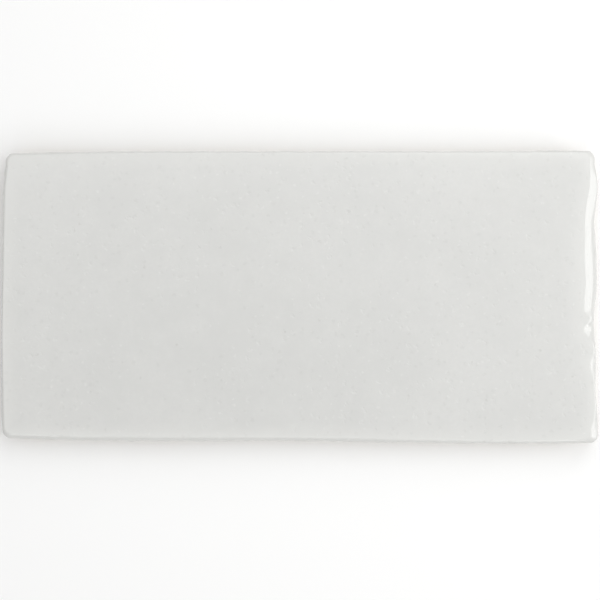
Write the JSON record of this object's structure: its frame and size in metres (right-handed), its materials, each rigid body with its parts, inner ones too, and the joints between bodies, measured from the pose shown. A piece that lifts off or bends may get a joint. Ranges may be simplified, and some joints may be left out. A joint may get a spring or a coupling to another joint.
{
  "type": "subway tile",
  "caption": "Rectangular glazed ceramic wall tile with softly rolled, slightly uneven edges and a waffle-keyed back, bedded on a wall in adhesive with grouted joints.",
  "frame": {"origin": "middle of the tile's bounding rectangle, on the plane of its back ribs", "axes": "+X along the tile's length, +Y across it, +Z out of the glazed face"},
  "size_m": [0.1506, 0.0738, 0.0089],
  "materials": {
    "white_glaze": "off-white gloss glaze on the face and rolled edges, bare pale clay on the back"
  },
  "bodies": {
    "root": {"subway_tile": "white_glaze"}
  },
  "joints": []
}
